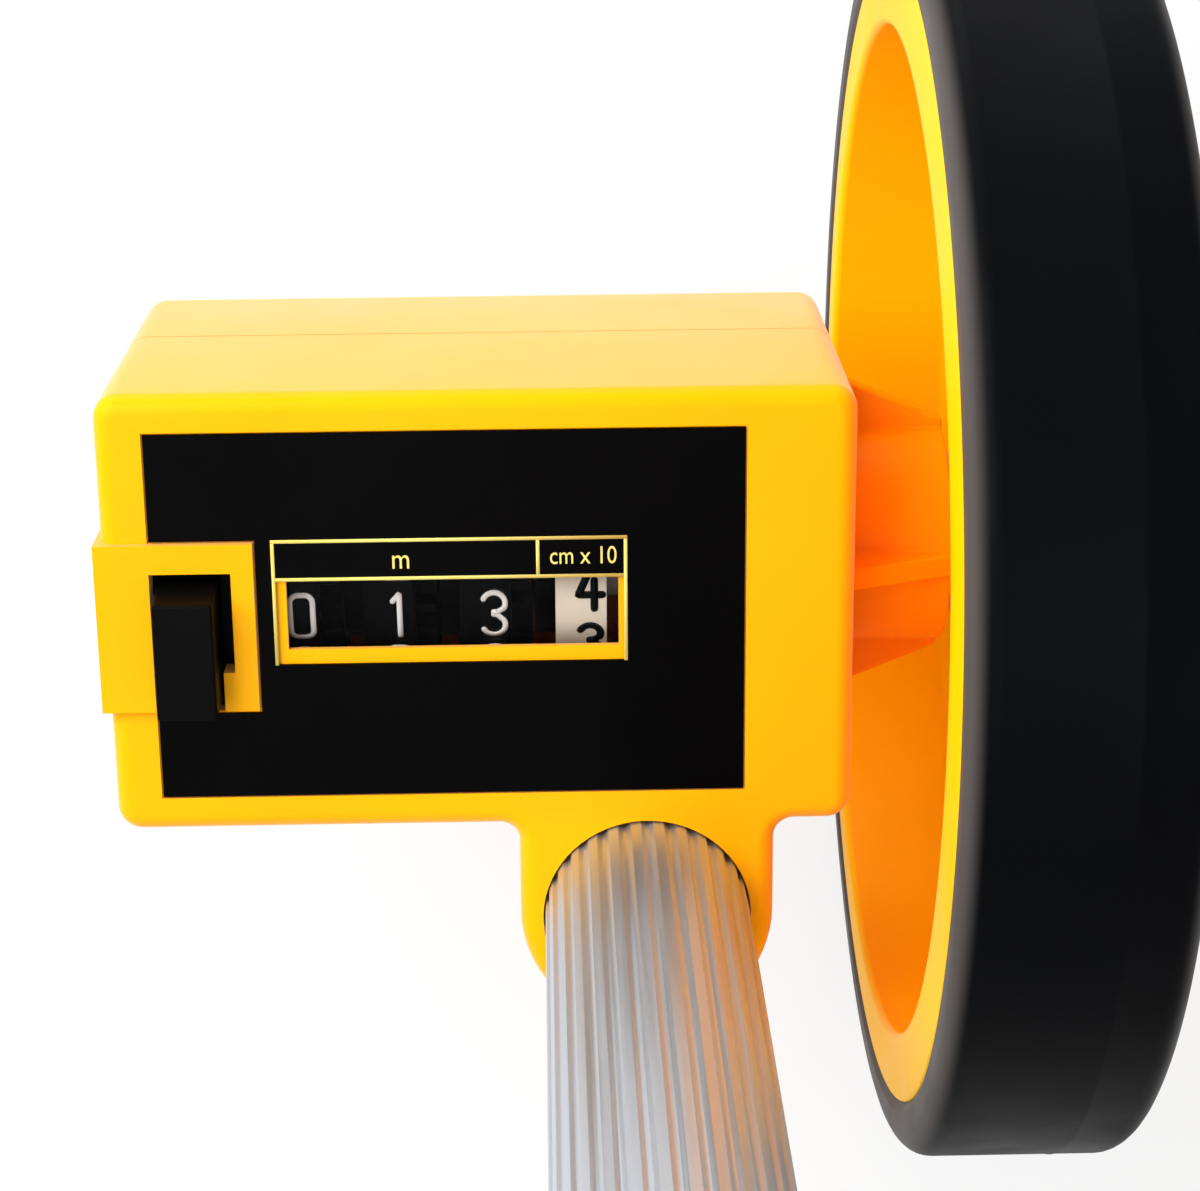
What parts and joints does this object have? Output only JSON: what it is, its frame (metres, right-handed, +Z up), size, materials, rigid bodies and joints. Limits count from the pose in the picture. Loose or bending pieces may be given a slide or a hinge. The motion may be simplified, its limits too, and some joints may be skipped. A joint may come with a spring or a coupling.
{
  "type": "distance measuring wheel",
  "caption": "hand-held distance measuring wheel with a geared mechanical counter in a box housing, a rubber-tyred wheel on one side and a telescopic tube handle",
  "frame": {"origin": "where the wheel touches the ground, under the middle plane of the wheel", "axes": "+Z up, +X along the axle from the counter housing to the wheel, -Y towards the person who holds the grip"},
  "size_m": [0.1239, 0.4465, 0.5229],
  "materials": {
    "yellow_shell": "moulded ABS with a soft gloss",
    "yellow_wheel": "moulded ABS with a soft gloss",
    "tyre_rubber": "smooth moulded rubber",
    "face_film": "printed polyester film",
    "clear_window": "clear acrylic",
    "black_plastic": "fine moulded texture",
    "drum_black": "moulded with white numerals",
    "drum_white": "moulded with black numerals",
    "gear_nylon": "natural acetal",
    "tube_aluminium": "fluted and anodised, along the tube",
    "bright_steel": "ground",
    "zinc_steel": "zinc plated",
    "pressed_steel": "cold rolled sheet",
    "bush_brass": "turned",
    "grip_rubber": "soft grip, fine texture"
  },
  "bodies": {
    "housing": {"front_shell": "yellow_shell", "rear_cover": "yellow_shell", "face_label": "face_film", "window_lens": "clear_window", "axle_carrier": "yellow_shell", "inner_bush": "bush_brass", "outer_bush": "bush_brass", "counter_frame": "pressed_steel", "frame_screws": "zinc_steel", "pinion_shaft": "bright_steel", "housing_screws": "zinc_steel", "outer_tube": "tube_aluminium", "tube_screw": "zinc_steel", "clamp_collar": "black_plastic", "clamp_pin": "bright_steel", "reset_spring": "zinc_steel"},
    "wheel": {"wheel_rim": "yellow_wheel", "tyre": "tyre_rubber", "wheel_axle": "bright_steel", "axle_pinion": "gear_nylon", "axle_circlip": "zinc_steel", "hub_washer": "zinc_steel", "hub_nut": "zinc_steel", "hub_cap": "yellow_wheel"},
    "tenths": {"drum_tenths": "drum_white", "counter_shaft": "bright_steel", "drive_gear": "gear_nylon"},
    "units": {"drum_units": "drum_black"},
    "tens": {"drum_tens": "drum_black"},
    "hundreds": {"drum_hundreds": "drum_black"},
    "pinion_1": {"transfer_pinion_1": "gear_nylon"},
    "pinion_2": {"transfer_pinion_2": "gear_nylon"},
    "pinion_3": {"transfer_pinion_3": "gear_nylon"},
    "button": {"reset_button": "black_plastic"},
    "reset_bar": {"reset_bar": "bright_steel"},
    "handle": {"inner_tube": "tube_aluminium", "guide_plug": "black_plastic", "handle_grip": "grip_rubber", "grip_end_plug": "black_plastic"},
    "lever": {"clamp_lever": "black_plastic"}
  },
  "joints": [
    {"name": "wheel_spin", "type": "hinge", "parent": "housing", "child": "wheel", "pos_m": [0, 0, 0.0795], "axis": [-1, 0, 0], "continuous": true},
    {"name": "tenths_spin", "type": "hinge", "parent": "housing", "child": "tenths", "pos_m": [0, -0.00688, 0.08933], "axis": [1, 0, 0], "continuous": true},
    {"name": "units_spin", "type": "hinge", "parent": "housing", "child": "units", "pos_m": [0, -0.00688, 0.08933], "axis": [1, 0, 0], "continuous": true},
    {"name": "tens_spin", "type": "hinge", "parent": "housing", "child": "tens", "pos_m": [0, -0.00688, 0.08933], "axis": [1, 0, 0], "continuous": true},
    {"name": "hundreds_spin", "type": "hinge", "parent": "housing", "child": "hundreds", "pos_m": [0, -0.00688, 0.08933], "axis": [1, 0, 0], "continuous": true},
    {"name": "pinion_1_spin", "type": "hinge", "parent": "housing", "child": "pinion_1", "pos_m": [0, 0.00458, 0.09736], "axis": [-1, 0, 0], "continuous": true},
    {"name": "pinion_2_spin", "type": "hinge", "parent": "housing", "child": "pinion_2", "pos_m": [0, 0.00458, 0.09736], "axis": [-1, 0, 0], "continuous": true},
    {"name": "pinion_3_spin", "type": "hinge", "parent": "housing", "child": "pinion_3", "pos_m": [0, 0.00458, 0.09736], "axis": [-1, 0, 0], "continuous": true},
    {"name": "reset_press", "type": "slide", "parent": "housing", "child": "button", "axis": [0, 0.5736, -0.8192], "range_m": [0, 0.004], "stiffness_N_per_m": 450, "springref_m": -0.004},
    {"name": "reset_bar_turn", "type": "hinge", "parent": "housing", "child": "reset_bar", "pos_m": [0, 0.00176, 0.10576], "axis": [1, 0, 0], "range_deg": [0, 17.5]},
    {"name": "handle_slide", "type": "slide", "parent": "housing", "child": "handle", "axis": [0, -0.5736, 0.8192], "range_m": [0, 0.335]},
    {"name": "clamp_swing", "type": "hinge", "parent": "housing", "child": "lever", "pos_m": [-0.0245, -0.26482, 0.38604], "axis": [0, 0.5736, -0.8192], "range_deg": [0, 100]}
  ],
  "couplings": [
    {"joint": "tenths_spin", "follows": "wheel_spin", "ratio": 0.5},
    {"joint": "units_spin", "follows": "wheel_spin", "ratio": 0.05},
    {"joint": "tens_spin", "follows": "wheel_spin", "ratio": 0.005},
    {"joint": "hundreds_spin", "follows": "wheel_spin", "ratio": 0.0005},
    {"joint": "pinion_1_spin", "follows": "wheel_spin", "ratio": 0.125},
    {"joint": "pinion_2_spin", "follows": "wheel_spin", "ratio": 0.0125},
    {"joint": "pinion_3_spin", "follows": "wheel_spin", "ratio": 0.00125},
    {"joint": "reset_bar_turn", "follows": "reset_press", "rad_per_m": 75}
  ]
}
